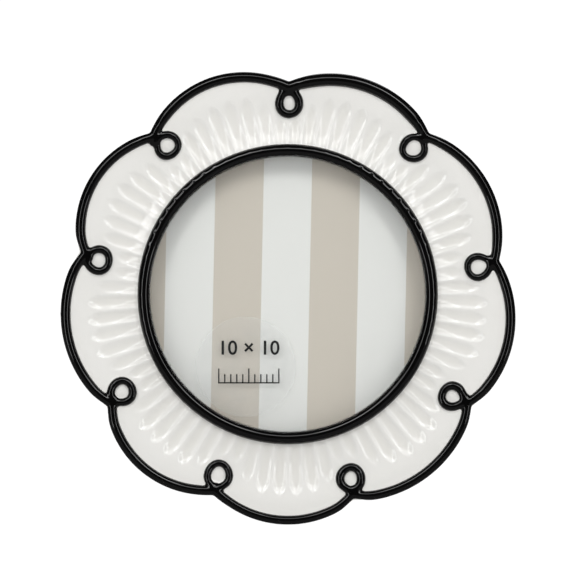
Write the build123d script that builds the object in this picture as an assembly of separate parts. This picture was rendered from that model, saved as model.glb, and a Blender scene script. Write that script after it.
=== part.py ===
from build123d import *

import os
from math import asin, atan2, cos, degrees, radians, sin, sqrt, tan

# A round photo frame of glazed ceramic with a scalloped edge. It leans back on an easel leg.
# Every piece is first made lying on its back: X to the right, Y up the face and Z towards the viewer,
# with zero at the middle of the outline on the casting's rear plane. stand() then leans it back.
os.makedirs("parts", exist_ok=True)

# How it stands
lean_angle = 15
leg_angle = 25
table_gap = 0.3

# What the frame holds, from the front to the back
pane_r = 50.8
pane_clearance = 0.5
pane_thickness = 2.0
print_thickness = 0.3
filler_thickness = 1.2
board_thickness = 3.0
back_proud = 0.4
label_r = 17.5
label_thickness = 0.12
label_edge_gap = 1.2
label_angle = 240

# The casting, from the opening outwards
print_lip = 2.8
lip_height = 5.9
cove_width = 18.5
cove_depth = 2.5
flutes_per_lobe = 8
flute_r = 6.5
flute_depth = 0.85
margin_width = 1.9
lobe_count = 9
lobe_arc_r = 37.8
draft_angle = 5
back_edge_chamfer = 1.0
rear_wall = 9.0

# The raised black lines
rim_line_r = 1.7
line_overhang = 0.5
loop_line_r = 1.3
loop_r = 3.6
loop_neck = 1.9
ring_width = 4.5
ring_rise = 2.5
ring_skirt = 1.0
wall_glaze = 1.2

# The ring that carries the turn buttons
carrier_thickness = 5.0
carrier_clearance = 0.3

# Turn buttons and their screws
button_count = 4
button_pivot_r = 4.2
button_tip_r = 2.6
button_lap = 6.5
button_thickness = 0.9
button_gap = 0.15
screw_shank_r = 1.1
screw_head_r = 2.3
screw_head_height = 1.4
screw_bite = 4.0
screw_slot = 0.6
running_clearance = 0.05

# The easel leg and its hinge
hinge_y = 22.0
leg_thickness = 3.0
leg_top_gap = 1.1
leg_top_width = 30.0
leg_foot_width = 48.0
leg_corner_r = 3.0
leaf_thickness = 0.8
leaf_width = 28.0
leaf_height = 14.0
leaf_corner_r = 2.0
barrel_r = 1.9
barrel_length = 20.0
barrel_gap = 0.15
barrel_clearance = 0.3
pin_r = 1.0
pin_head_r = 1.5
pin_head_height = 0.6
rivet_r = 1.2
rivet_head_r = 2.2
rivet_head_height = 0.9
rivet_bite = 2.2
rivet_spacing = 16.0

# Every cut runs past the faces that it opens by this much
overrun = 1.0

# Heights on the face, from the back board's rear to the casting's front
back_z = -back_proud
board_front_z = back_z + board_thickness
filler_front_z = board_front_z + filler_thickness
print_front_z = filler_front_z + print_thickness
seat_z = print_front_z + pane_thickness
margin_height = seat_z + lip_height
carrier_front_z = back_z + carrier_thickness

# Distances from the middle, from the opening outwards. The lines cross at cross_r.
opening_r = pane_r - print_lip
lip_r = opening_r + wall_glaze
ring_outer_r = opening_r + ring_width
cove_outer_r = ring_outer_r + cove_width
cross_r = cove_outer_r + margin_width
lobe_angle = 360 / lobe_count
half_lobe = radians(lobe_angle / 2)
notch_angle = 90
rim_path_r = lobe_arc_r - rim_line_r
lobe_centre_r = cross_r * cos(half_lobe) - sqrt(rim_path_r**2 - (cross_r * sin(half_lobe)) ** 2)
lobe_top_r = lobe_centre_r + lobe_arc_r

# The side wall stands under the line and draws in towards the back
draft = tan(radians(draft_angle))
wall_arc_r = lobe_arc_r - line_overhang
back_arc_r = wall_arc_r - margin_height * draft
back_notch_r = lobe_centre_r * cos(half_lobe) + sqrt(back_arc_r**2 - (lobe_centre_r * sin(half_lobe)) ** 2)

# The rear of the casting, and the carrier ring in its recess
rebate_r = pane_r + pane_clearance
recess_r = back_notch_r - rear_wall
carrier_outer_r = recess_r - carrier_clearance
carrier_inner_r = rebate_r + pane_clearance
pivot_r = (carrier_inner_r + carrier_outer_r) / 2
button_reach = pivot_r - rebate_r + button_lap

# The cove is an arc in section: its half width, its middle and its radius
cove_half = cove_width / 2
cove_mid_r = ring_outer_r + cove_half
cove_arc_r = (cove_half**2 + cove_depth**2) / (2 * cove_depth)
cove_axis_z = margin_height - cove_depth + cove_arc_r

# Each loop hangs from the crossing into the cove
loop_middle_r = cross_r - loop_neck - loop_r
loop_inner_r = loop_middle_r - loop_r

# The hinge pin's axis, the folded leg's rear face, and the height of the face's middle above the table
hinge_z = back_z - leaf_thickness - barrel_clearance - barrel_r
leg_rear_z = hinge_z - barrel_r + leaf_thickness
stand_height = (
    (lobe_top_r - rim_line_r) * cos(radians(lean_angle))
    - margin_height * sin(radians(lean_angle))
    + rim_line_r
    + table_gap
)


def ring_of(count, first_angle):
    """The angles of pieces that repeat evenly round the face."""
    return [first_angle + 360 / count * i for i in range(count)]


def turned(shape, angle):
    """The shape turned about the face's middle."""
    return Rot(0, 0, angle) * shape


def disc(radius, low_z, high_z):
    """A plain disc about the middle, between two heights."""
    return Pos(0, 0, low_z) * extrude(Circle(radius), high_z - low_z)


def block(x0, x1, y0, y1, z0, z1):
    """A plain block between two corners."""
    size = Box(x1 - x0, y1 - y0, z1 - z0)
    return Pos((x0 + x1) / 2, (y0 + y1) / 2, (z0 + z1) / 2) * size


def joined(shapes):
    """All the shapes as one solid, each added in turn."""
    whole = shapes[0]
    for shape in shapes[1:]:
        whole = whole + shape
    return whole


def slice_prism(angle, near_x, far_x, low_z, high_z):
    """A slice of the face about the X direction, as wide as the angle."""
    rise = tan(radians(angle / 2))
    outline = Polygon(
        (near_x, -near_x * rise),
        (far_x, -far_x * rise),
        (far_x, far_x * rise),
        (near_x, near_x * rise),
        align=None,
    )
    return Pos(0, 0, low_z) * extrude(outline, high_z - low_z)


def cove_height(radius):
    """The height of the cove's smooth arc at a distance from the middle."""
    return cove_axis_z - sqrt(cove_arc_r**2 - (radius - cove_mid_r) ** 2)


def flute_scoop():
    """One scoop of the fluted band: a ring on edge, kept to its own slice of the band."""
    pitch = lobe_angle / flutes_per_lobe
    across = Plane(origin=(cove_mid_r, 0, cove_axis_z), z_dir=(0, 1, 0))
    scoop = Solid.make_torus(cove_arc_r + flute_depth - flute_r, flute_r, across)
    low_z = margin_height - cove_depth - flute_depth - overrun
    return scoop & slice_prism(pitch, ring_outer_r, lobe_top_r, low_z, margin_height + overrun)


def lobed_blank():
    """The scalloped outline with its drafted side wall: one turned shape for each lobe."""
    height = margin_height + overrun
    section = Polygon(
        (0, 0),
        (back_arc_r - back_edge_chamfer, 0),
        (back_arc_r + back_edge_chamfer * draft, back_edge_chamfer),
        (back_arc_r + height * draft, height),
        (0, height),
        align=None,
    )
    lobe = Pos(lobe_centre_r, 0, 0) * revolve(Plane.XZ * section, Axis.Z)
    return joined([turned(lobe, angle) for angle in ring_of(lobe_count, notch_angle + lobe_angle / 2)])


def turned_section():
    """The casting's section, turned about the middle: lip, cove, margin, recess and rebate."""
    far_r = lobe_top_r + overrun
    with BuildSketch(Plane.XZ) as section:
        with BuildLine():
            Polyline((lip_r, seat_z), (lip_r, margin_height), (ring_outer_r, margin_height))
            ThreePointArc(
                (ring_outer_r, margin_height),
                (cove_mid_r, margin_height - cove_depth),
                (cove_outer_r, margin_height),
            )
            Polyline(
                (cove_outer_r, margin_height),
                (far_r, margin_height),
                (far_r, 0),
                (recess_r, 0),
                (recess_r, carrier_front_z),
                (rebate_r, carrier_front_z),
                (rebate_r, seat_z),
                (lip_r, seat_z),
            )
        make_face()
    return revolve(section.sketch, Axis.Z)


def rim_line():
    """The raised line along the scalloped edge, with a loop hanging inwards at each notch."""
    tube = Pos(lobe_centre_r, 0, margin_height) * Solid.make_torus(rim_path_r, rim_line_r)
    low_z = margin_height - rim_line_r - overrun
    high_z = margin_height + rim_line_r + overrun
    lobe = tube & slice_prism(lobe_angle, cove_mid_r, lobe_top_r + overrun, low_z, high_z)
    stretch = turned(lobe, lobe_angle / 2) + hanging_loop()
    return joined([turned(stretch, angle) for angle in ring_of(lobe_count, notch_angle)])


def hanging_loop():
    """One drop-shaped loop, tilted down so that it lies along the cove."""
    reach = cross_r - loop_middle_r
    open_angle = degrees(asin(loop_r / reach))
    start = Vector(cross_r, 0) + Vector(1, 0).rotate(Axis.Z, -open_angle) * rim_line_r
    touch = Vector(loop_middle_r, 0) + Vector(loop_r, 0).rotate(Axis.Z, 90 - open_angle)
    side = Vector(loop_middle_r, 0) + Vector(loop_r, 0).rotate(Axis.Z, 135 - open_angle / 2)
    strand = Line(start, touch)
    bend = ThreePointArc(touch, side, (loop_inner_r, 0))
    path = Wire([strand.edge(), bend.edge()])
    section = Plane(origin=path @ 0, z_dir=path % 0) * Circle(loop_line_r)
    tube = sweep(section, path=path)
    half = tube & block(opening_r, lobe_top_r, 0, 2 * loop_r, -rim_line_r, rim_line_r)
    loop = half + mirror(half, Plane.XZ)
    drop = margin_height - cove_height(loop_inner_r)
    tilt = degrees(atan2(drop, cross_r - loop_inner_r))
    return Pos(cross_r, 0, margin_height) * Rot(0, -tilt, 0) * Pos(-cross_r, 0, 0) * loop


def ceramic_body(line, ring):
    """The glazed casting: the scalloped blank with its cove, its flutes and the seats of the lines."""
    body = lobed_blank() & turned_section()
    scoop = flute_scoop()
    count = lobe_count * flutes_per_lobe
    pitch = 360 / count
    angles = ring_of(count, notch_angle + pitch / 2)
    for first in range(2):
        body = body - [turned(scoop, angle) for angle in angles[first::2]]
    return body - ring - line


def opening_ring():
    """The raised black ring round the opening, with the glaze that runs down the wall to the pane."""
    crest_r = opening_r + ring_width / 2
    spring_z = margin_height + ring_rise - ring_width / 2
    with BuildSketch(Plane.XZ) as section:
        with BuildLine():
            Polyline(
                (opening_r, spring_z),
                (opening_r, seat_z),
                (lip_r, seat_z),
                (lip_r, margin_height - ring_skirt),
                (ring_outer_r, margin_height - ring_skirt),
                (ring_outer_r, spring_z),
            )
            ThreePointArc(
                (ring_outer_r, spring_z),
                (crest_r, margin_height + ring_rise),
                (opening_r, spring_z),
            )
        make_face()
    return revolve(section.sketch, Axis.Z)


def size_label():
    """A clear round film on the front of the pane."""
    place = Pos(opening_r - label_r - label_edge_gap, 0, 0)
    return turned(place * disc(label_r, seat_z, seat_z + label_thickness), label_angle)


def button_place(angle):
    """The plane of a turn button: its pivot on the carrier's rear face, X towards the middle."""
    pivot = Vector(pivot_r, 0, 0).rotate(Axis.Z, angle)
    inwards = Vector(-1, 0, 0).rotate(Axis.Z, angle)
    return Plane(origin=pivot + Vector(0, 0, back_z), x_dir=inwards, z_dir=(0, 0, -1))


def carrier_ring():
    """The board ring bonded into the casting's rear recess. The button screws bite into it."""
    ring = disc(carrier_outer_r, back_z, carrier_front_z)
    ring = ring - disc(carrier_inner_r, back_z - overrun, carrier_front_z + overrun)
    depth = screw_bite + running_clearance
    hole = Pos(0, 0, -depth) * extrude(Circle(screw_shank_r + running_clearance), depth + overrun)
    return ring - [button_place(angle).location * hole for angle in button_angles]


def turn_button():
    """A flat steel button: a round pivot end and a narrower tip that lies over the back board."""
    outline = make_hull((Circle(button_pivot_r) + Pos(button_reach, 0) * Circle(button_tip_r)).edges())
    plate = extrude(outline - Circle(screw_shank_r + running_clearance), button_thickness)
    return Pos(0, 0, button_gap) * plate


def button_screw():
    """A pan head screw with a cross slot."""
    head_z = button_gap + button_thickness + running_clearance
    rounding = screw_head_height / 2
    shank = Pos(0, 0, -screw_bite) * extrude(Circle(screw_shank_r), screw_bite + head_z)
    with BuildSketch(Plane.XZ) as section:
        with BuildLine():
            Polyline((0, screw_head_height), (0, 0), (screw_head_r, 0), (screw_head_r, rounding))
            JernArc((screw_head_r, rounding), (0, 1), rounding, 90)
            Line((screw_head_r - rounding, screw_head_height), (0, screw_head_height))
        make_face()
    head = revolve(section.sketch, Axis.Z)
    slot = Box(2 * screw_shank_r * sqrt(2), screw_slot, screw_head_height)
    slot = Pos(0, 0, screw_head_height) * slot
    head = head - slot - turned(slot, 90)
    return shank + Pos(0, 0, head_z) * head


def barrel(start_x, end_x):
    """A stretch of hinge barrel round the pin's axis."""
    across = Plane(origin=(start_x, hinge_y, hinge_z), z_dir=(1, 0, 0))
    tube = extrude(Circle(barrel_r) - Circle(pin_r + running_clearance), end_x - start_x)
    return across.location * tube


def leaf_plate(near_y, far_y, front_z):
    """A flat hinge leaf with rounded far corners, its front face at front_z."""
    low_y = min(near_y, far_y)
    high_y = max(near_y, far_y)
    plate = block(-leaf_width / 2, leaf_width / 2, low_y, high_y, front_z - leaf_thickness, front_z)
    corners = plate.edges().filter_by(Axis.Z).filter_by_position(Axis.Y, far_y, far_y)
    return fillet(corners, leaf_corner_r)


def rivet_holes(centre_y, front_z):
    """The two rivet holes of a leaf, right through its plate and on into what is behind it."""
    reach = leaf_thickness + rivet_bite + running_clearance + overrun
    hole = extrude(Circle(rivet_r + running_clearance), reach)
    low_z = front_z - leaf_thickness - overrun
    return [Pos(side * rivet_spacing / 2, centre_y, low_z) * hole for side in (-1, 1)]


def rivets(centre_y, front_z):
    """Two dome head rivets. Their shanks stand in the board in front of the leaf."""
    head_z = front_z - leaf_thickness
    dome_r = (rivet_head_r**2 + rivet_head_height**2) / (2 * rivet_head_height)
    ball = Pos(0, 0, head_z - rivet_head_height + dome_r) * Sphere(dome_r)
    dome = ball & disc(2 * rivet_head_r, head_z - 2 * rivet_head_height, head_z)
    rivet = dome + disc(rivet_r, head_z, front_z + rivet_bite)
    return [Pos(side * rivet_spacing / 2, centre_y, 0) * rivet for side in (-1, 1)]


def hinge_board_leaf():
    """The fixed leaf: a plate riveted to the back board and the two outer stretches of barrel."""
    rear_z = back_z - leaf_thickness
    leaf = leaf_plate(hinge_y, hinge_y + leaf_height, back_z)
    leaf = leaf - rivet_holes(board_rivet_y, back_z)
    for side in (-1, 1):
        inner_x = side * (knuckle_half + barrel_gap)
        outer_x = side * barrel_length / 2
        low_x = min(inner_x, outer_x)
        high_x = max(inner_x, outer_x)
        web = block(low_x, high_x, hinge_y, hinge_y + barrel_r, hinge_z, rear_z)
        bore = Plane(origin=(low_x - overrun, hinge_y, hinge_z), z_dir=(1, 0, 0)).location
        web = web - bore * extrude(Circle(pin_r + running_clearance), high_x - low_x + 2 * overrun)
        leaf = leaf + web + barrel(low_x, high_x)
    return leaf


def hinge_leg_leaf():
    """The moving leaf, folded: a plate on the leg's rear face, a barrel and two stop heels."""
    rear_z = leg_rear_z - leaf_thickness
    leaf = leaf_plate(hinge_y, hinge_y - leaf_height, leg_rear_z)
    leaf = leaf - rivet_holes(leg_rivet_y, leg_rear_z)
    clear_y = hinge_y - barrel_r - leg_top_gap
    heel_x = barrel_length / 2 + pin_head_height + 2 * barrel_gap
    for side in (-1, 1):
        notch = block(
            knuckle_half,
            leaf_width,
            clear_y,
            hinge_y + overrun,
            rear_z - overrun,
            leg_rear_z + overrun,
        )
        heel = block(heel_x, leaf_width / 2, clear_y, hinge_y + heel_length, rear_z, leg_rear_z)
        if side < 0:
            notch = mirror(notch, Plane.YZ)
            heel = mirror(heel, Plane.YZ)
        leaf = leaf - notch + heel
    return leaf + barrel(-knuckle_half, knuckle_half)


def hinge_pin():
    """The pin through the barrels, with a dome pressed on each end."""
    half = barrel_length / 2 + barrel_gap
    across = Plane(origin=(-half, hinge_y, hinge_z), z_dir=(1, 0, 0))
    pin = across.location * extrude(Circle(pin_r), 2 * half)
    for side in (-1, 1):
        end = Plane(origin=(side * half, hinge_y, hinge_z), z_dir=(side, 0, 0))
        pin = pin + end.location * extrude(Circle(pin_head_r), pin_head_height)
    return pin


def easel_leg():
    """The folded leg: a board that widens towards its foot."""
    top_y = hinge_y - barrel_r - leg_top_gap
    foot_y = hinge_y - leg_reach - overrun
    outline = Polygon(
        (-leg_foot_width / 2, foot_y),
        (leg_foot_width / 2, foot_y),
        (leg_top_width / 2, top_y),
        (-leg_top_width / 2, top_y),
        align=None,
    )
    outline = fillet(outline.vertices().sort_by(Axis.Y)[-2:], leg_corner_r)
    leg = Pos(0, 0, leg_rear_z) * extrude(outline, leg_thickness)
    return leg - rivet_holes(leg_rivet_y, leg_rear_z)


def opened(shape):
    """Swings a folded piece of the leg out to its stop."""
    return Pos(0, hinge_y, hinge_z) * Rot(leg_angle, 0, 0) * Pos(0, -hinge_y, -hinge_z) * shape


def stand(shape):
    """Leans a piece back and lifts it so that the frame stands on the table, at Z of zero."""
    return Pos(0, 0, stand_height) * Rot(90 - lean_angle, 0, 0) * shape


# Small sizes and places of the hinge
knuckle_share = 0.4
rivet_share = 0.6
knuckle_half = barrel_length * knuckle_share / 2
board_rivet_y = hinge_y + leaf_height * rivet_share
leg_rivet_y = hinge_y - leaf_height * rivet_share
leg_tilt = radians(leg_angle - lean_angle)
hinge_height = stand_height + hinge_y * cos(radians(lean_angle)) + hinge_z * sin(radians(lean_angle))
leg_reach = hinge_height / cos(leg_tilt) + leg_thickness * tan(leg_tilt)
heel_drop = hinge_z - leg_rear_z
heel_room = back_z - leaf_thickness - hinge_z - running_clearance
heel_length = (heel_room + heel_drop * cos(radians(leg_angle))) / sin(radians(leg_angle))
button_angles = ring_of(button_count, 45)

line = rim_line()
ring = opening_ring()
places = [button_place(angle).location for angle in button_angles]
board = disc(rebate_r, back_z, board_front_z) - rivet_holes(board_rivet_y, back_z)

nodes = {
    "ceramic_body": ceramic_body(line, ring),
    "rim_line": line,
    "opening_ring": ring,
    "glass_pane": disc(pane_r, print_front_z, seat_z),
    "photo_insert": disc(pane_r, filler_front_z, print_front_z),
    "size_label": size_label(),
    "filler_card": disc(pane_r, board_front_z, filler_front_z),
    "back_board": board,
    "carrier_ring": carrier_ring(),
    "turn_button_screws": Compound([place * button_screw() for place in places]),
    "hinge_board_leaf": hinge_board_leaf(),
    "hinge_board_rivets": Compound(rivets(board_rivet_y, back_z)),
    "hinge_pin": hinge_pin(),
    "hinge_leg_leaf": opened(hinge_leg_leaf()),
    "hinge_leg_rivets": opened(Compound(rivets(leg_rivet_y, leg_rear_z))),
    "easel_leg": opened(easel_leg()),
}
for number, place in enumerate(places, 1):
    nodes[f"turn_button_{number}"] = place * turn_button()

nodes = {name: stand(shape) for name, shape in nodes.items()}

# The foot lobe is ground flat, and so is the leg's foot
reach = 2 * lobe_top_r
below_table = block(-reach, reach, -reach, reach, -reach, 0)
for name in ("ceramic_body", "easel_leg"):
    nodes[name] = nodes[name] - below_table

# The origin is the middle of the footprint's box, on the table
box = Compound([nodes[name] for name in ("rim_line", "opening_ring", "easel_leg")]).bounding_box()
shift = Pos(-(box.min.X + box.max.X) / 2, -(box.min.Y + box.max.Y) / 2, 0)
for name, shape in nodes.items():
    export_step(shift * shape, f"parts/{name}.step")
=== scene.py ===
import math
import random
from collections import namedtuple

import bmesh
import bpy
from mathutils import Matrix, Vector


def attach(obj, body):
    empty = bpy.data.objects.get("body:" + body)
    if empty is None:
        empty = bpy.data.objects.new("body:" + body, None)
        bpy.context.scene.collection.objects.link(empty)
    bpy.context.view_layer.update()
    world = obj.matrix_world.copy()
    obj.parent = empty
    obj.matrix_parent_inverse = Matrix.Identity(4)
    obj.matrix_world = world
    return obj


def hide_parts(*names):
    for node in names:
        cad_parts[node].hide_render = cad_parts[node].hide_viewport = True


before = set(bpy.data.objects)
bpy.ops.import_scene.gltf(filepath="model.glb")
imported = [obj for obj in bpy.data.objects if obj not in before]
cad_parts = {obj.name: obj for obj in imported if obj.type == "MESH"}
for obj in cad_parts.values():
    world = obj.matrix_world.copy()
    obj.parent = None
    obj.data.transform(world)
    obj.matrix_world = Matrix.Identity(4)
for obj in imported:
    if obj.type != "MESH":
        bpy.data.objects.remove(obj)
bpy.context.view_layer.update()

# A round ceramic photo frame with a scalloped edge, leaning back on its easel leg.
# The face's own places are in millimetres: X to the right, Y up the face and Z towards the viewer.
# Angles on the face are in degrees, counted from its right side over its top.
LEAN = math.radians(15)
TILT = math.pi / 2 - LEAN
FACE_ORIGIN = Vector((0, 0.003373, 0.074719))
MM = 0.001
FACE = Matrix.Translation(FACE_ORIGIN) @ Matrix.Rotation(TILT, 4, "X") @ Matrix.Scale(MM, 4)

# The casting
LIP_R = 49.2
REBATE_R = 51.3
RING_OUTER_R = 52.5
COVE_OUTER_R = 71.0
COVE_DEPTH = 1.5
COVE_BLEND = 2.0
NOMINAL_EDGE_R = 80.0
MARGIN_Z = 12.0
SEAT_Z = 6.1
CARRIER_FRONT_Z = 4.6
RECESS_R = 64.1
LINE_OVERHANG = 0.5
DRAFT = math.tan(math.radians(5))
UNDER_BEAD_Z = MARGIN_Z - 1.0

# The pane, and the clear label on it with its printing
PANE_R = 50.8
PANE_THICKNESS = 2.0
PANE_BEVEL = 0.25
LABEL_R = 17.5
LABEL_MIDDLE = (-14.65, -25.37)
LABEL_THICKNESS = 0.12
PRINTING_X = -13.6
FIGURES_Y = -19.0
SCALE_Y = -31.0
SCALE_STEP = 2.1
STROKE = 0.45
INK = 0.02

# The insert's stripes: the width of one, where one of them begins, and how far they are askew
STRIPE = 16.85
STRIPE_START = 7.6
STRIPE_TURN = 1.2

# Each lobe of the edge: the angle and distance of its middle, its radius over the black line, and
# half the line's width
Lobe = namedtuple("Lobe", "angle distance radius half_line")
LOBES = [
    Lobe(29.0, 41.50, 38.39, 1.68),
    Lobe(68.0, 39.65, 40.05, 2.10),
    Lobe(110.3, 43.87, 36.13, 1.70),
    Lobe(150.0, 44.88, 34.95, 1.65),
    Lobe(190.4, 37.66, 41.94, 1.61),
    Lobe(230.6, 44.78, 35.24, 1.59),
    Lobe(270.1, 43.25, 36.88, 1.42),
    Lobe(308.0, 37.55, 42.54, 1.52),
    Lobe(347.9, 40.50, 39.65, 1.63),
]
LOBE_POINTS = 26
WIDTH_BLEND = 0.16
DRAW_BLEND = 0.12

# Each loop, between its lobe and the next: the angle and distance of its middle, its half width and
# half height, its lean, half its line's width, how far its neck opens towards the crossing, half the
# line's width at the crossing, and how far the crossing is drawn in towards the face's middle
Loop = namedtuple(
    "Loop", "angle distance half_width half_height lean half_line neck crossing_half drawn_in"
)
LOOPS = [
    Loop(49.4, 67.2, 3.85, 3.95, -0.25, 1.12, 0.30, 1.45, 0.1),
    Loop(89.5, 66.7, 3.50, 4.15, 0.10, 1.35, 0.45, 1.75, -0.2),
    Loop(128.8, 66.7, 3.90, 3.65, 0.20, 1.15, 0.30, 1.45, 0.0),
    Loop(169.9, 67.1, 3.90, 3.90, -0.15, 1.24, 0.50, 1.40, 1.0),
    Loop(210.3, 67.1, 3.80, 3.90, 0.25, 1.25, 0.50, 1.45, 0.8),
    Loop(249.1, 67.5, 3.85, 4.20, -0.10, 1.16, 0.90, 1.55, -0.2),
    Loop(288.8, 67.8, 3.75, 3.95, 0.15, 1.36, 0.50, 1.30, 1.0),
    Loop(328.3, 67.5, 3.75, 3.75, -0.20, 1.36, 0.40, 1.40, 0.7),
    Loop(8.1, 67.1, 3.75, 3.90, 0.10, 1.10, 0.45, 1.45, 0.0),
]
LOOP_POINTS = 20
LOOP_R = 3.9
LOOP_HALF_LINE = 1.20
LOOP_SKEW = 0.22
LOOP_UNEVEN = 0.03
LOOP_LINE_UNEVEN = 0.06
LOOP_RISE = 0.3

# The blob that fills each crossing's corners: its size, and how far on it sits, going round with the angles
BLOBS = [
    (2.8, 0.7),
    (3.0, 0.8),
    (2.9, 0.0),
    (2.6, 0.9),
    (2.5, -0.8),
    (2.2, 0.0),
    (2.6, 1.3),
    (3.1, 0.0),
    (2.9, -0.3),
]
BLOB_SHIFT = 1.7
BLOB_SHAPE = (0.5, 1.0, 0.45)
BLOB_Z = MARGIN_Z + 0.1
MELT_VOXEL = 0.30
MELT_LOSS = 0.25
MELT_PASSES = 16

# The ring: the middle, half width and height of its bead, and the small bumps where it runs over the
# flutes, which are higher near two places
RING_CREST_R = 50.10
RING_HALF = 2.22
RING_HEIGHT = 2.5
RING_CLEARANCE = 0.02
RING_FOOT_Z = 11.9
BUMP = 0.12
EXTRA_BUMP = 0.33
BUMPY_PLACES = (42, 142)

# The flutes: where each scoop of half a lobe ends, from the notch to the lobe's middle
SCOOPS = 72
SCOOP_DEPTH = 0.6
SCOOP_ENDS = [62.8, 67.8, 70.4, 71.2]
SCOOP_TIP = 5.5
SCOOP_POWER = 1.6
SCOOP_START = 0.75
SCOOP_RISE = 5
RIDGE_ROUND = 0.22
FLUTES_NEAR_LOOP = (5.0, 7.4)

# Where the white glaze swells: its height and its reach
GLAZE_AT_LINE = (0.38, 0.7)
GLAZE_AT_RING = (0.25, 0.5)
GLAZE_AT_LOOP = (0.30, 0.45)
DROP_IN_LOOP = 0.35
DROP_EDGE = (0.4, 2.6)

# Each scoop's own end, depth and turn
rng = random.Random(9)
SCOOP_WOBBLE = [
    (rng.uniform(-0.5, 0.5), rng.uniform(0.85, 1.15), rng.uniform(-0.06, 0.06)) for _ in range(SCOOPS)
]


# Shapes of the face
def smooth(low, high, x):
    """A smooth step from 0 at low to 1 at high."""
    t = max(0.0, min(1.0, (x - low) / (high - low)))
    return t * t * (3 - 2 * t)


def polar(radius, degrees):
    """A point on the face by its distance and angle."""
    a = math.radians(degrees)
    return Vector((radius * math.cos(a), radius * math.sin(a)))


LOOP_MIDDLES = [polar(loop.distance, loop.angle) for loop in LOOPS]


def edge_radius(theta, inset):
    """How far the scalloped edge is from the middle, each lobe's circle made smaller by inset."""
    best = 0.0
    for lobe in LOBES:
        along = lobe.distance * math.cos(theta - math.radians(lobe.angle))
        root = (lobe.radius - inset) ** 2 - lobe.distance**2 + along**2
        if along > 0 and root > 0:
            best = max(best, along + math.sqrt(root))
    return best


def line_half_width(theta):
    """Half the width of the black line at an angle, from its lobe."""
    degrees = math.degrees(theta) % 360
    return min(LOBES, key=lambda lobe: abs((degrees - lobe.angle + 180) % 360 - 180)).half_line


def cove(radius):
    """The height of the smooth cove, without its flutes, its edges blended by averaging."""
    half = (COVE_OUTER_R - RING_OUTER_R) / 2
    arc = (half**2 + COVE_DEPTH**2) / (2 * COVE_DEPTH)
    steps = 3
    fall = 0.0
    for step in range(-steps, steps + 1):
        off = min(half, abs(radius + COVE_BLEND * step / steps - RING_OUTER_R - half))
        fall += math.sqrt(arc**2 - off**2) - arc + COVE_DEPTH
    return MARGIN_Z - fall / (2 * steps + 1)


def hollow(q):
    """A round hollow: 1 in its middle and 0 at its rim at 1, where it rounds over into a soft ridge."""
    if q >= 1:
        return 0.0

    def area(x):
        return x - x**3 / 3

    def depth(x):
        over = max(0.0, x + RIDGE_ROUND - 1)
        span = area(min(1.0, x + RIDGE_ROUND)) - area(x - RIDGE_ROUND) + area(1) - area(1 - over)
        return span / (2 * RIDGE_ROUND)

    return (depth(q) - depth(1.0)) / (depth(0.0) - depth(1.0))


def scoop(radius, theta):
    """How deep a flute is here, as a share from 0 to 1."""
    place = (math.degrees(theta) - 90) % 360 / (360 / SCOOPS)
    number = int(place) % SCOOPS
    end_shift, depth, turn = SCOOP_WOBBLE[number]
    across = (place - int(place) - 0.5 + turn * 0.5) * 2
    each_lobe = SCOOPS // len(LOBES)
    step = number % each_lobe
    end = SCOOP_ENDS[min(step, each_lobe - 1 - step)] + end_shift
    along = max(0.0, (radius - end + SCOOP_TIP) / SCOOP_TIP)
    q = min(1.0, (abs(across) ** SCOOP_POWER + along**SCOOP_POWER) ** (1 / SCOOP_POWER))
    start = SCOOP_START + (1 - SCOOP_START) * smooth(RING_OUTER_R, RING_OUTER_R + SCOOP_RISE, radius)
    return depth * start * hollow(q)


def swelling(distance, height, reach):
    """How far the glaze swells at a distance from what it runs up to."""
    return height * math.exp(-max(0.0, distance) / reach)


def glaze_height(radius, theta):
    """The white glaze's height on the face, and how much a flute takes off it."""
    point = Vector((radius * math.cos(theta), radius * math.sin(theta)))
    loop = min((point - middle).length for middle in LOOP_MIDDLES)
    line_edge = edge_radius(theta, 2 * line_half_width(theta))
    taken = scoop(radius, theta) * smooth(*FLUTES_NEAR_LOOP, loop)
    height = cove(radius) - SCOOP_DEPTH * taken
    height += swelling(line_edge - radius, *GLAZE_AT_LINE)
    height += swelling(radius - RING_OUTER_R, *GLAZE_AT_RING)
    height += swelling(abs(loop - LOOP_R) - LOOP_HALF_LINE, *GLAZE_AT_LOOP)
    height += DROP_IN_LOOP * (1 - smooth(*DROP_EDGE, loop))
    return height, taken


# Making the pieces
def finished(name, bm, material, crease=None):
    """Moves a piece of the frame's body from the face's millimetres to its place, and finishes it."""
    bm.transform(FACE)
    return placed(name, bm, material, "frame", crease)


def placed(name, bm, material, body, crease):
    """Makes a shape that is in its place an object that rides on a body."""
    mesh = bpy.data.meshes.new(name)
    bm.to_mesh(mesh)
    bm.free()
    mesh.shade_smooth()
    if crease:
        mesh.set_sharp_from_angle(angle=math.radians(crease))
    mesh.materials.append(material)
    piece = bpy.data.objects.new(name, mesh)
    bpy.context.scene.collection.objects.link(piece)
    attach(piece, body)
    return piece


def spun(profile, steps):
    """A closed outline of (radius, height) points, spun about the face's middle."""
    bm = bmesh.new()
    verts = [bm.verts.new((r, 0, z)) for r, z in profile]
    edges = [bm.edges.new(pair) for pair in zip(verts, verts[1:] + verts[:1])]
    bmesh.ops.spin(
        bm,
        geom=verts + edges,
        cent=(0, 0, 0),
        axis=(0, 0, 1),
        angle=2 * math.pi,
        steps=steps,
        use_merge=True,
    )
    bmesh.ops.recalc_face_normals(bm, faces=bm.faces)
    return bm


def spread(start, end, count):
    """Even steps from start up to, but not with, end."""
    return [start + (end - start) * i / count for i in range(count)]


def shape_of(name, data):
    """The shape of a curve or a text, ready to be worked on."""
    holder = bpy.data.objects.new(name, data)
    bpy.context.scene.collection.objects.link(holder)
    bpy.context.view_layer.update()
    mesh = bpy.data.meshes.new_from_object(holder)
    bpy.data.objects.remove(holder)
    return taken_up(mesh)


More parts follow.
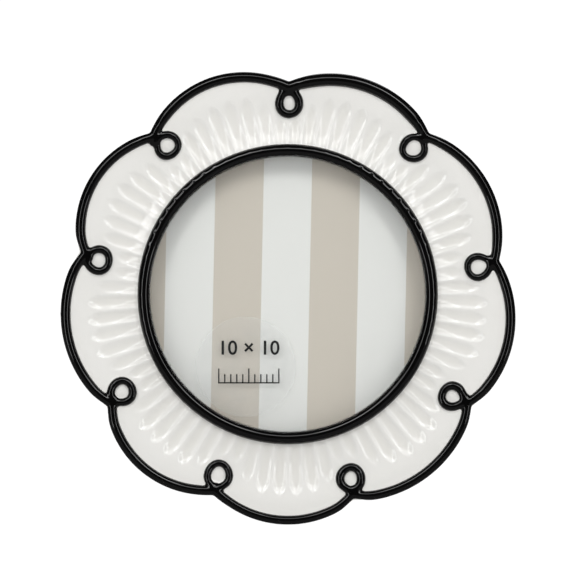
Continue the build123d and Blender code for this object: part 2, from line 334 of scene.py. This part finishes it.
def taken_up(mesh):
    """A mesh's shape, the mesh itself no longer needed."""
    bm = bmesh.new()
    bm.from_mesh(mesh)
    bpy.data.meshes.remove(mesh)
    return bm


def melted(bm):
    """Lines and blobs that overlap, run together into one skin."""
    mesh = bpy.data.meshes.new("line_melt")
    bm.to_mesh(mesh)
    bm.free()
    lump = bpy.data.objects.new("line_melt", mesh)
    bpy.context.scene.collection.objects.link(lump)
    melt = lump.modifiers.new("melt", "REMESH")
    melt.mode = "VOXEL"
    melt.voxel_size = MELT_VOXEL
    bpy.context.view_layer.update()
    graph = bpy.context.evaluated_depsgraph_get()
    skin = bpy.data.meshes.new_from_object(lump.evaluated_get(graph), depsgraph=graph)
    bpy.data.objects.remove(lump)
    bm = taken_up(skin)
    for _ in range(MELT_PASSES):
        bmesh.ops.smooth_vert(
            bm, verts=bm.verts, factor=0.5, use_axis_x=True, use_axis_y=True, use_axis_z=True
        )
    return bm


def ground_flat(bm):
    """Grinds away what would stand below the table."""
    to_face = FACE.inverted()
    down = (to_face.to_3x3() @ Vector((0, 0, -1))).normalized()
    cut = bmesh.ops.bisect_plane(
        bm,
        geom=bm.verts[:] + bm.edges[:] + bm.faces[:],
        dist=0.0001,
        plane_co=to_face @ Vector((0, 0, 0)),
        plane_no=down,
        clear_outer=True,
    )
    rim = [e for e in cut["geom_cut"] if isinstance(e, bmesh.types.BMEdge)]
    bmesh.ops.holes_fill(bm, edges=rim, sides=0)
    bmesh.ops.recalc_face_normals(bm, faces=bm.faces)


def ceramic_body(material):
    """The white casting: fluted cove, smooth margin, drafted side wall, rear recess and rebate."""
    inner_r = RING_OUTER_R - 0.7
    back_edge_z = 1.0
    profile = [(r, MARGIN_Z) for r in spread(inner_r, COVE_OUTER_R, 34)]
    profile += [(r, MARGIN_Z) for r in spread(COVE_OUTER_R, NOMINAL_EDGE_R, 12)]
    profile += [(NOMINAL_EDGE_R, z) for z in spread(MARGIN_Z, back_edge_z, 4)]
    profile += [(NOMINAL_EDGE_R, back_edge_z), (NOMINAL_EDGE_R - 1, 0.3), (NOMINAL_EDGE_R - 2, 0)]
    profile += [(RECESS_R + 0.6, 0), (RECESS_R, 0.5), (RECESS_R, CARRIER_FRONT_Z)]
    profile += [(REBATE_R, CARRIER_FRONT_Z), (REBATE_R, SEAT_Z), (LIP_R, SEAT_Z)]
    profile += [(LIP_R, UNDER_BEAD_Z), (inner_r, UNDER_BEAD_Z)]
    bm = spun(profile, 1080)
    pooled = bm.verts.layers.float.new("pooled")
    tolerance = 0.01
    for v in bm.verts:
        radius = math.hypot(v.co.x, v.co.y)
        theta = math.atan2(v.co.y, v.co.x)
        height = v.co.z
        if radius > COVE_OUTER_R + tolerance:
            inset = LINE_OVERHANG + (MARGIN_Z - height) * DRAFT
            share = (radius - COVE_OUTER_R) / (NOMINAL_EDGE_R - COVE_OUTER_R)
            radius = COVE_OUTER_R + share * (edge_radius(theta, inset) - COVE_OUTER_R)
        if height > MARGIN_Z - tolerance:
            height, v[pooled] = glaze_height(radius, theta)
        v.co = (radius * math.cos(theta), radius * math.sin(theta), height)
    ground_flat(bm)
    piece = finished("glazed_casting", bm, material, crease=50)
    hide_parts("ceramic_body")


def line_crossing(number):
    """Where the middles of a lobe's line and the next lobe's cross."""
    first, second = LOBES[number], LOBES[(number + 1) % len(LOBES)]
    m1, m2 = polar(first.distance, first.angle), polar(second.distance, second.angle)
    r1, r2 = first.radius - first.half_line, second.radius - second.half_line
    gap = (m2 - m1).length
    along = (r1**2 - r2**2 + gap**2) / (2 * gap)
    off = math.sqrt(max(0.0, r1**2 - along**2))
    direction = (m2 - m1) / gap
    side = Vector((direction.y, -direction.x))
    return max((m1 + direction * along + side * off * s for s in (-1, 1)), key=lambda p: p.length)


def line_path():
    """The black line's course as (point, half width), once round: lobe, loop, lobe, loop."""
    course = []
    for i, lobe in enumerate(LOBES):
        before, after = LOOPS[i - 1], LOOPS[i]
        start, end = line_crossing(i - 1), line_crossing(i)
        middle = polar(lobe.distance, lobe.angle)
        start_angle = math.atan2(*reversed(start - middle))
        end_angle = math.atan2(*reversed(end - middle))
        sweep = (end_angle - start_angle) % (2 * math.pi)
        for k in range(1, LOBE_POINTS):
            t = k / LOBE_POINTS
            a = start_angle + sweep * t
            near = before.crossing_half if t < 0.5 else after.crossing_half
            width = near + (lobe.half_line - near) * smooth(0.0, WIDTH_BLEND, min(t, 1 - t))
            inward = before.drawn_in * max(0.0, 1 - t / DRAW_BLEND)
            inward += after.drawn_in * max(0.0, 1 - (1 - t) / DRAW_BLEND)
            place = middle + Vector((math.cos(a), math.sin(a))) * (lobe.radius - lobe.half_line)
            course.append((place - place.normalized() * inward, width))
        crossing = end * (1 - after.drawn_in / end.length)
        course.append((crossing, after.crossing_half))
        course += loop_points(crossing, after)
        course.append((crossing, after.crossing_half))
    return course


def loop_points(crossing, loop):
    """The points of one loop, on from the crossing, round inside the notch and back to it."""
    middle = polar(loop.distance, loop.angle)
    reach = (crossing - middle).length
    out = (crossing - middle).normalized()
    side = Vector((-out.y, out.x))
    open_angle = math.acos(min(1.0, loop.half_height / reach)) * loop.neck
    points = []
    for k in range(LOOP_POINTS + 1):
        a = open_angle + (2 * math.pi - 2 * open_angle) * k / LOOP_POINTS
        skew = 1 + loop.lean * LOOP_SKEW * math.sin(a) + LOOP_UNEVEN * math.sin(3 * a + loop.angle)
        offset = out * loop.half_height * math.cos(a) + side * loop.half_width * math.sin(a)
        width = loop.half_line * (1 + LOOP_LINE_UNEVEN * math.sin(2 * a + loop.distance))
        points.append((middle + offset * skew, width))
    return points


def rim_line(material):
    """The raised black line along the edge with its loops, melted into one bead where it crosses."""
    curve = bpy.data.curves.new("line_course", "CURVE")
    curve.dimensions = "3D"
    curve.bevel_depth = 1.0
    curve.bevel_resolution = 6
    curve.resolution_u = 3
    spline = curve.splines.new("NURBS")
    course = line_path()
    spline.points.add(len(course) - 1)
    for point, (place, width) in zip(spline.points, course):
        rise = LOOP_RISE * (1 - smooth(66, 72, place.length))
        point.co = (place.x, place.y, cove(place.length) + rise, 1)
        point.radius = width + MELT_LOSS
    spline.use_cyclic_u = True
    spline.order_u = 4
    bm = shape_of("line_course", curve)
    for i, (size, on) in enumerate(BLOBS):
        crossing = line_crossing(i)
        outward = crossing.normalized()
        onward = Vector((-outward.y, outward.x))
        middle = crossing - outward * (BLOB_SHIFT + LOOPS[i].drawn_in) + onward * on
        blob = bmesh.ops.create_uvsphere(bm, u_segments=24, v_segments=12, radius=size)
        to_place = Matrix.Translation((middle.x, middle.y, BLOB_Z))
        turn = Matrix.Rotation(math.atan2(crossing.y, crossing.x), 4, "Z")
        stretch = Matrix.Diagonal((*BLOB_SHAPE, 1))
        bmesh.ops.transform(bm, matrix=to_place @ turn @ stretch, verts=blob["verts"])
    piece = finished("scalloped_line", melted(bm), material)
    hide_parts("rim_line")


def opening_ring(material):
    """The raised black ring round the opening, its foot wavy where it runs over the flutes."""
    base_z = SEAT_Z + RING_CLEARANCE
    spring_z = MARGIN_Z + RING_HEIGHT - RING_HALF
    profile = [(RING_CREST_R - RING_HALF, z) for z in spread(base_z, spring_z, 6)]
    bends = 16
    for k in range(bends + 1):
        a = math.pi - math.pi * 0.96 * k / bends
        profile.append((RING_CREST_R + RING_HALF * math.cos(a), spring_z + RING_HALF * math.sin(a)))
    profile += [(52.31, 12.2), (52.30, RING_FOOT_Z), (52.28, 11.45), (52.2, UNDER_BEAD_Z)]
    profile += [(LIP_R, UNDER_BEAD_Z), (LIP_R, base_z)]
    bm = spun(profile, 720)
    flank_r = RING_CREST_R + 0.8
    for v in bm.verts:
        radius = math.hypot(v.co.x, v.co.y)
        if radius > flank_r and v.co.z > RING_FOOT_Z:
            degrees = math.degrees(math.atan2(v.co.y, v.co.x))
            ridge = 0.5 + 0.5 * math.cos(math.radians((degrees - 90) * SCOOPS))
            bumpy = 1 - smooth(12, 30, min(abs(degrees - place) for place in BUMPY_PLACES))
            share = smooth(flank_r, RING_CREST_R + 1.7, radius)
            share *= smooth(RING_FOOT_Z, RING_FOOT_Z + 0.5, v.co.z)
            v.co.z += (BUMP + EXTRA_BUMP * bumpy) * ridge**3 * share
    piece = finished("opening_bead", bm, material, crease=60)
    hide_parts("opening_ring")


def pane(material):
    """The clear pane, its rim ground smooth."""
    bm = bmesh.new()
    bmesh.ops.create_circle(bm, cap_ends=True, segments=180, radius=PANE_R)
    grown = bmesh.ops.extrude_face_region(bm, geom=bm.faces[:])
    raised = [v for v in grown["geom"] if isinstance(v, bmesh.types.BMVert)]
    bmesh.ops.translate(bm, verts=raised, vec=(0, 0, PANE_THICKNESS))
    rims = [e for e in bm.edges if e.is_manifold and e.calc_face_angle() > 1]
    bmesh.ops.bevel(
        bm,
        geom=rims,
        offset=PANE_BEVEL,
        offset_type="OFFSET",
        segments=2,
        profile=0.5,
        affect="EDGES",
        material=-1,
    )
    bmesh.ops.translate(bm, verts=bm.verts, vec=(0, 0, SEAT_Z - PANE_THICKNESS))
    bmesh.ops.recalc_face_normals(bm, faces=bm.faces)
    piece = finished("clear_pane", bm, material, crease=8)
    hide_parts("glass_pane")


def softened(node, name, width, material, body):
    """A copy of a hard-edged CAD piece with its edges rounded."""
    bm = bmesh.new()
    bm.from_mesh(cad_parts[node].data)
    bmesh.ops.remove_doubles(bm, verts=bm.verts, dist=1e-6)
    bmesh.ops.dissolve_limit(
        bm,
        angle_limit=math.radians(1),
        use_dissolve_boundaries=False,
        verts=bm.verts,
        edges=bm.edges,
    )
    hard = math.radians(30)
    bmesh.ops.bevel(
        bm,
        geom=[e for e in bm.edges if len(e.link_faces) == 2 and e.calc_face_angle() > hard],
        offset=width,
        offset_type="OFFSET",
        segments=3,
        profile=0.5,
        affect="EDGES",
        clamp_overlap=True,
        material=-1,
    )
    bmesh.ops.recalc_face_normals(bm, faces=bm.faces)
    piece = placed(name, bm, material, body, crease=14)
    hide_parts(node)


def label_figures(material):
    """Plain figures and a row of scale marks on the clear label."""
    text = bpy.data.curves.new("figures", "FONT")
    text.body = "10 × 10"
    text.align_x = "CENTER"
    text.align_y = "CENTER"
    text.size = 6.9
    text.offset = 0.10
    text.extrude = INK / 2
    bm = shape_of("figures", text)
    bmesh.ops.translate(bm, verts=bm.verts, vec=(PRINTING_X, FIGURES_Y, 0))

    def bar(x, y, width, height):
        """A printed bar, its middle at x and y."""
        block = bmesh.ops.create_cube(bm, size=1.0)
        place = Matrix.Translation((x, y, 0)) @ Matrix.Diagonal((width, height, INK, 1))
        bmesh.ops.transform(bm, matrix=place, verts=block["verts"])

    for k in range(11):
        tall = 5.0 if k % 5 == 0 else 3.0
        bar(PRINTING_X + (k - 5) * SCALE_STEP, SCALE_Y + tall / 2, STROKE, tall)
    bar(PRINTING_X, SCALE_Y, 10 * SCALE_STEP + STROKE, STROKE)
    above_film = 0.012
    bmesh.ops.translate(bm, verts=bm.verts, vec=(0, 0, SEAT_Z + LABEL_THICKNESS + above_film))
    finished("label_figures", bm, material)


# Material tools
def new_material(name):
    """A fresh material and its Principled shader."""
    material = bpy.data.materials.new(name)
    material.use_nodes = True
    tree = material.node_tree
    tree.nodes.clear()
    out = tree.nodes.new("ShaderNodeOutputMaterial")
    shader = tree.nodes.new("ShaderNodeBsdfPrincipled")
    tree.links.new(shader.outputs["BSDF"], out.inputs["Surface"])
    return material, tree, shader


def put(tree, socket, value):
    """Links a socket to the one that feeds it, or sets its value."""
    if isinstance(value, bpy.types.NodeSocket):
        tree.links.new(value, socket)
    else:
        socket.default_value = value


def feed(tree, node, **values):
    """Sets or links a node's inputs, by name with underscores for spaces."""
    for key, value in values.items():
        put(tree, node.inputs[key.replace("_", " ")], value)
    return node


def face_place(tree, turn=0.0):
    """The place on the face in its own millimetres."""
    coords = tree.nodes.new("ShaderNodeTexCoord")
    mapping = tree.nodes.new("ShaderNodeMapping")
    mapping.vector_type = "TEXTURE"
    feed(
        tree,
        mapping,
        Vector=coords.outputs["Object"],
        Location=FACE_ORIGIN,
        Rotation=(TILT, 0, 0),
        Scale=(MM, MM, MM),
    )
    if not turn:
        return mapping.outputs["Vector"]
    turned = tree.nodes.new("ShaderNodeMapping")
    feed(tree, turned, Vector=mapping.outputs["Vector"], Rotation=(0, 0, math.radians(turn)))
    return turned.outputs["Vector"]


def noise(tree, vector, scale, detail=2.0, roughness=0.5):
    """A cloudy value about the middle of 0 to 1."""
    texture = tree.nodes.new("ShaderNodeTexNoise")
    feed(tree, texture, Vector=vector, Scale=scale, Detail=detail, Roughness=roughness)
    return texture.outputs["Fac"]


def math_node(tree, operation, a, b=0.0, c=0.0, clamp=False):
    """The result of a Math node on up to three values."""
    node = tree.nodes.new("ShaderNodeMath")
    node.operation = operation
    node.use_clamp = clamp
    for socket, value in zip(node.inputs, (a, b, c)):
        put(tree, socket, value)
    return node.outputs[0]


def ranged(tree, value, low, high, to_low, to_high):
    """A value brought smoothly from one range to another."""
    node = tree.nodes.new("ShaderNodeMapRange")
    node.interpolation_type = "SMOOTHSTEP"
    feed(tree, node, Value=value, From_Min=low, From_Max=high, To_Min=to_low, To_Max=to_high)
    return node.outputs["Result"]


def varied(tree, value, low, high):
    """A cloudy value brought to run from low to high."""
    return ranged(tree, value, 0.3, 0.7, low, high)


def mixed(tree, factor, first, second):
    """One colour blended into another."""
    node = tree.nodes.new("ShaderNodeMix")
    node.data_type = "RGBA"
    first_colour, second_colour = node.inputs[6], node.inputs[7]
    put(tree, node.inputs["Factor"], factor)
    put(tree, first_colour, first)
    put(tree, second_colour, second)
    return node.outputs[2]


def bump(tree, height, distance, strength=1.0):
    """A relief's normal, its distance in metres."""
    node = tree.nodes.new("ShaderNodeBump")
    feed(tree, node, Height=height, Distance=distance, Strength=strength)
    return node.outputs["Normal"]


def shared_group(name, scale, outputs):
    """An empty node group that takes a place and a scale, with its input and output nodes."""
    group = bpy.data.node_groups.new(name, "ShaderNodeTree")
    group.interface.new_socket("Vector", in_out="INPUT", socket_type="NodeSocketVector")
    group.interface.new_socket(scale, in_out="INPUT", socket_type="NodeSocketFloat")
    for socket in outputs:
        group.interface.new_socket(socket, in_out="OUTPUT", socket_type="NodeSocketFloat")
    given = group.nodes.new("NodeGroupInput")
    return group, given.outputs["Vector"], given.outputs[scale], group.nodes.new("NodeGroupOutput")


def use(tree, group, **values):
    """A shared group placed in a material with its own values."""
    node = tree.nodes.new("ShaderNodeGroup")
    node.node_tree = group
    return feed(tree, node, **values)


def glaze_group():
    """Fired glaze: slow clouds of thickness and a fine ripple of its skin."""
    group, vector, scale, out = shared_group("fired_glaze", "Cloud Scale", ["Cloud", "Ripple"])
    slow = noise(group, vector, 0.16, 1.0)
    fine = noise(group, vector, 0.9, 2.0)
    ripple = math_node(group, "MULTIPLY_ADD", fine, 0.25, slow)
    feed(group, out, Cloud=noise(group, vector, scale, 3.0), Ripple=ripple)
    return group


def fibre_group():
    """Paper and board: felted fibres, their fine relief and stray dark flecks."""
    group, vector, scale, out = shared_group("felted_fibre", "Scale", ["Tone", "Relief", "Fleck"])
    tone = noise(group, vector, scale, 6.0, 0.65)
    relief = noise(group, vector, math_node(group, "MULTIPLY", scale, 3.0), 4.0)
    cells = feed(group, group.nodes.new("ShaderNodeTexVoronoi"), Vector=vector, Scale=scale)
    fleck = ranged(group, cells.outputs["Distance"], 0.03, 0.09, 1.0, 0.0)
    feed(group, out, Tone=tone, Relief=relief, Fleck=fleck)
    return group


def plate_group():
    """Rolled and plated sheet: fine lines one way, and soft stains."""
    group, vector, scale, out = shared_group("plated_sheet", "Line Scale", ["Lines", "Stain"])
    stretch = feed(group, group.nodes.new("ShaderNodeMapping"), Vector=vector, Scale=(0.08, 1.0, 1.0))
    lines = noise(group, stretch.outputs["Vector"], scale, 3.0)
    feed(group, out, Lines=lines, Stain=noise(group, vector, 0.5, 4.0))
    return group


# Materials
def white_glaze(glaze):
    """Warm white glaze, a little deeper in colour where it pools in the flutes."""
    material, tree, shader = new_material("white_glaze")
    thin, thick, deep = (0.80, 0.79, 0.755, 1), (0.83, 0.822, 0.795, 1), (0.77, 0.757, 0.71, 1)
    fired = use(tree, glaze, Vector=face_place(tree), Cloud_Scale=0.07)
    pooled = tree.nodes.new("ShaderNodeAttribute")
    pooled.attribute_name = "pooled"
    depth = ranged(tree, pooled.outputs["Fac"], 0.15, 1.0, 0.0, 0.55)
    tone = mixed(tree, depth, mixed(tree, fired.outputs["Cloud"], thin, thick), deep)
    gloss = varied(tree, fired.outputs["Cloud"], 0.07, 0.10)
    skin = bump(tree, fired.outputs["Ripple"], 0.00006, 0.25)
    feed(tree, shader, Base_Color=tone, Roughness=gloss, Normal=skin, IOR=1.5)
    return material


def black_glaze(glaze):
    """Deep black glaze, very smooth."""
    material, tree, shader = new_material("black_glaze")
    thick, thin = (0.0008, 0.0008, 0.0009, 1), (0.0022, 0.0020, 0.0020, 1)
    fired = use(tree, glaze, Vector=face_place(tree), Cloud_Scale=0.25)
    tone = mixed(tree, fired.outputs["Cloud"], thick, thin)
    gloss = varied(tree, fired.outputs["Cloud"], 0.03, 0.05)
    skin = bump(tree, fired.outputs["Ripple"], 0.0001, 0.2)
    feed(tree, shader, Base_Color=tone, Roughness=gloss, Normal=skin, IOR=1.5)
    return material


def pane_glass():
    """Clear glass: light for the print behind it goes straight through."""
    material, tree, shader = new_material("pane_glass")
    tint = (0.985, 0.995, 0.99, 1)
    feed(tree, shader, Base_Color=tint, Roughness=0.02, IOR=1.45, Transmission_Weight=1.0)
    clear = tree.nodes.new("ShaderNodeBsdfTransparent")
    clear.inputs["Color"].default_value = (0.97, 0.985, 0.98, 1)
    rays = tree.nodes.new("ShaderNodeLightPath").outputs
    through = math_node(tree, "ADD", rays["Is Shadow Ray"], rays["Is Diffuse Ray"], clamp=True)
    blend = tree.nodes.new("ShaderNodeMixShader")
    put(tree, blend.inputs[0], through)
    put(tree, blend.inputs[1], shader.outputs["BSDF"])
    put(tree, blend.inputs[2], clear.outputs["BSDF"])
    put(tree, tree.nodes["Material Output"].inputs["Surface"], blend.outputs["Shader"])
    return material


def striped_print(fibre):
    """The printed insert: broad upright stripes, a sixth of its width each, set a little askew."""
    material, tree, shader = new_material("striped_print")
    place = face_place(tree, STRIPE_TURN)
    across = feed(tree, tree.nodes.new("ShaderNodeSeparateXYZ"), Vector=place).outputs["X"]
    from_start = math_node(tree, "SUBTRACT", across, STRIPE_START)
    wave = math_node(tree, "SINE", math_node(tree, "MULTIPLY", from_start, math.pi / STRIPE))
    band = ranged(tree, wave, -0.012, 0.012, 0.0, 1.0)
    paper = use(tree, fibre, Vector=place, Scale=2.5)
    pale = mixed(tree, paper.outputs["Tone"], (0.80, 0.78, 0.76, 1), (0.82, 0.80, 0.78, 1))
    beige = mixed(tree, paper.outputs["Tone"], (0.595, 0.530, 0.462, 1), (0.612, 0.546, 0.476, 1))
    relief = bump(tree, paper.outputs["Relief"], 0.00002, 0.3)
    feed(tree, shader, Base_Color=mixed(tree, band, pale, beige), Roughness=0.42, Normal=relief)
    return material


def clear_film(glaze):
    """The clear label, nearly unseen but for a painted highlight along its rim."""
    material, tree, shader = new_material("clear_film")
    place = face_place(tree)
    fired = use(tree, glaze, Vector=place, Cloud_Scale=0.12)
    flat = tree.nodes.new("ShaderNodeVectorMath")
    flat.operation = "MULTIPLY"
    put(tree, flat.inputs[0], place)
    put(tree, flat.inputs[1], (1, 1, 0))
    off = tree.nodes.new("ShaderNodeVectorMath")
    off.operation = "DISTANCE"
    put(tree, off.inputs[0], flat.outputs["Vector"])
    put(tree, off.inputs[1], (*LABEL_MIDDLE, 0))
    # The paler, more opaque band along the rim is a painted highlight of the label's cut edge.
    rim = ranged(tree, off.outputs["Value"], LABEL_R - 0.9, LABEL_R - 0.3, 0.0, 0.03)
    haze = math_node(tree, "ADD", varied(tree, fired.outputs["Cloud"], 0.05, 0.09), rim)
    gloss = varied(tree, fired.outputs["Cloud"], 0.22, 0.32)
    feed(tree, shader, Base_Color=(0.86, 0.87, 0.86, 1), Roughness=gloss, Alpha=haze)
    return material


def print_ink(fibre):
    """Matt black printing."""
    material, tree, shader = new_material("print_ink")
    paper = use(tree, fibre, Vector=face_place(tree), Scale=6.0)
    tone = mixed(tree, paper.outputs["Tone"], (0.004, 0.004, 0.004, 1), (0.009, 0.009, 0.010, 1))
    feed(tree, shader, Base_Color=tone, Roughness=0.75)
    return material


def covered_board(fibre):
    """Board covered in black paper with a fine leather emboss."""
    material, tree, shader = new_material("covered_board")
    place = face_place(tree)
    scale = 1.1
    paper = use(tree, fibre, Vector=place, Scale=scale)
    cells = tree.nodes.new("ShaderNodeTexVoronoi")
    cells.feature = "SMOOTH_F1"
    feed(tree, cells, Vector=place, Scale=scale * 1.4, Randomness=1.0)
    emboss = math_node(tree, "ADD", cells.outputs["Distance"], paper.outputs["Relief"])
    tone = mixed(tree, paper.outputs["Tone"], (0.012, 0.012, 0.012, 1), (0.026, 0.025, 0.024, 1))
    gloss = varied(tree, paper.outputs["Tone"], 0.48, 0.66)
    skin = bump(tree, emboss, 0.00008, 0.6)
    feed(tree, shader, Base_Color=tone, Roughness=gloss, Normal=skin)
    return material


def raw_card(fibre):
    """Unbleached grey card with dark flecks."""
    material, tree, shader = new_material("raw_card")
    paper = use(tree, fibre, Vector=face_place(tree), Scale=1.6)
    tone = mixed(tree, paper.outputs["Tone"], (0.40, 0.37, 0.33, 1), (0.52, 0.49, 0.44, 1))
    tone = mixed(tree, paper.outputs["Fleck"], tone, (0.20, 0.18, 0.16, 1))
    skin = bump(tree, paper.outputs["Relief"], 0.00005, 0.6)
    feed(tree, shader, Base_Color=tone, Roughness=0.9, Normal=skin)
    return material


def plated(name, plate, bright, dull, roughness):
    """Thin plated steel, a little stained."""
    material, tree, shader = new_material(name)
    sheet = use(tree, plate, Vector=face_place(tree), Line_Scale=5.0)
    tone = mixed(tree, ranged(tree, sheet.outputs["Stain"], 0.35, 0.7, 0.0, 1.0), bright, dull)
    gloss = varied(tree, sheet.outputs["Lines"], roughness - 0.07, roughness + 0.08)
    skin = bump(tree, sheet.outputs["Lines"], 0.00003, 0.5)
    feed(tree, shader, Base_Color=tone, Metallic=1.0, Roughness=gloss, Normal=skin)
    return material


def dress(node, material):
    """Gives a CAD node's surfaces their material."""
    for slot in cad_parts[node].material_slots:
        slot.material = material


# Floor, light and camera
def seen_rays(tree):
    """The kinds of ray, and those that come from the camera, straight or through the glass."""
    rays = tree.nodes.new("ShaderNodeLightPath").outputs
    return rays, math_node(tree, "ADD", rays["Is Camera Ray"], rays["Is Transmission Ray"], clamp=True)


def floor():
    """A white floor that keeps the object's soft shadow."""
    bm = bmesh.new()
    bmesh.ops.create_grid(bm, x_segments=1, y_segments=1, size=4.0)
    mesh = bpy.data.meshes.new("floor")
    bm.to_mesh(mesh)
    bm.free()
    plane = bpy.data.objects.new("floor", mesh)
    bpy.context.scene.collection.objects.link(plane)
    material = bpy.data.materials.new("white_floor")
    material.use_nodes = True
    tree = material.node_tree
    tree.nodes.clear()
    rays, seen = seen_rays(tree)
    matt = tree.nodes.new("ShaderNodeBsdfDiffuse")
    matt.inputs["Color"].default_value = (0.62, 0.62, 0.62, 1)
    glow = tree.nodes.new("ShaderNodeEmission")
    put(tree, glow.inputs["Strength"], math_node(tree, "MULTIPLY_ADD", seen, 1.09, 0.08))
    glossy = math_node(tree, "MULTIPLY", rays["Is Glossy Ray"], 0.8)
    blend = tree.nodes.new("ShaderNodeMixShader")
    put(tree, blend.inputs[0], math_node(tree, "MULTIPLY_ADD", seen, 0.86, glossy, clamp=True))
    put(tree, blend.inputs[1], matt.outputs["BSDF"])
    put(tree, blend.inputs[2], glow.outputs["Emission"])
    feed(tree, tree.nodes.new("ShaderNodeOutputMaterial"), Surface=blend.outputs["Shader"])
    mesh.materials.append(material)


def surroundings():
    """White to the camera and through glass, and a dim even studio for the object."""
    world = bpy.data.worlds.new("studio")
    bpy.context.scene.world = world
    world.use_nodes = True
    tree = world.node_tree
    tree.nodes.clear()
    rays, seen = seen_rays(tree)
    studio = math_node(tree, "MULTIPLY_ADD", rays["Is Diffuse Ray"], 0.50, 0.03)
    back = tree.nodes.new("ShaderNodeBackground")
    feed(tree, back, Color=(1, 1, 1, 1), Strength=math_node(tree, "MAXIMUM", studio, seen))
    feed(tree, tree.nodes.new("ShaderNodeOutputWorld"), Surface=back.outputs["Background"])


def softbox(name, around, off_axis, distance, width, height, power):
    """A soft lamp that looks at the face's middle, off its axis to one side. Its height is radial."""
    data = bpy.data.lights.new(name, "AREA")
    data.shape = "RECTANGLE"
    data.size = width
    data.size_y = height
    data.energy = power
    lamp = bpy.data.objects.new(name, data)
    bpy.context.scene.collection.objects.link(lamp)
    turn = math.radians(off_axis)
    outward = polar(1, around)
    aim = Vector((*(outward * math.sin(turn)), math.cos(turn)))
    up = Vector((*(outward * math.cos(turn)), -math.sin(turn)))
    axes = Matrix((up.cross(aim), up, aim)).transposed()
    to_room = (FACE.to_3x3() @ Matrix.Scale(1 / MM, 3)).to_quaternion()
    lamp.location = FACE_ORIGIN + to_room @ (aim * distance)
    lamp.rotation_mode = "QUATERNION"
    lamp.rotation_quaternion = to_room @ axes.to_quaternion()


def photo_camera():
    """Square on to the face, from far off."""
    data = bpy.data.cameras.new("photo_camera")
    camera = bpy.data.objects.new("photo_camera", data)
    bpy.context.scene.collection.objects.link(camera)
    distance, width = 1500.0, 200.6
    data.sensor_width = 36
    data.lens = data.sensor_width * distance / width
    data.clip_start = 0.05
    data.clip_end = 50
    camera.location = FACE @ Vector((0.10, 2.15, MARGIN_Z + distance))
    camera.rotation_euler = (TILT, 0, 0)
    bpy.context.scene.camera = camera


bpy.context.scene.view_settings.view_transform = "Standard"
floor()
surroundings()
softbox("lamp_above", around=90, off_axis=36, distance=1.0, width=1.6, height=0.22, power=3.1)
softbox("lamp_left", around=152, off_axis=33, distance=1.0, width=1.3, height=0.12, power=2.2)
softbox("lamp_right", around=28, off_axis=35, distance=1.0, width=1.3, height=0.12, power=2.2)
softbox("lamp_behind", around=80, off_axis=135, distance=1.1, width=0.6, height=0.6, power=1.5)
photo_camera()

glaze = glaze_group()
fibre = fibre_group()
plate = plate_group()
black_line = black_glaze(glaze)
cover = covered_board(fibre)
nickel = plated("nickel_plate", plate, (0.66, 0.65, 0.62, 1), (0.57, 0.56, 0.53, 1), 0.3)
brass = plated("brass_plate", plate, (0.76, 0.58, 0.28, 1), (0.66, 0.49, 0.22, 1), 0.28)

LEG_EDGE = 0.0007
LEAF_EDGE = 0.00015
BUTTON_EDGE = 0.00022

ceramic_body(white_glaze(glaze))
rim_line(black_line)
opening_ring(black_line)
label_figures(print_ink(fibre))
pane(pane_glass())
dress("photo_insert", striped_print(fibre))
dress("size_label", clear_film(glaze))
dress("filler_card", raw_card(fibre))
dress("back_board", cover)
dress("carrier_ring", cover)
dress("hinge_pin", brass)
dress("turn_button_screws", nickel)
softened("easel_leg", "easel_strut", LEG_EDGE, cover, "leg")
softened("hinge_leg_leaf", "strut_leaf", LEAF_EDGE, brass, "leg")
softened("hinge_board_leaf", "board_leaf", LEAF_EDGE, brass, "frame")
dress("hinge_board_rivets", brass)
dress("hinge_leg_rivets", brass)
for number in range(1, 5):
    node, name, body = f"turn_button_{number}", f"button_plate_{number}", f"button_{number}"
    softened(node, name, BUTTON_EDGE, nickel, body)
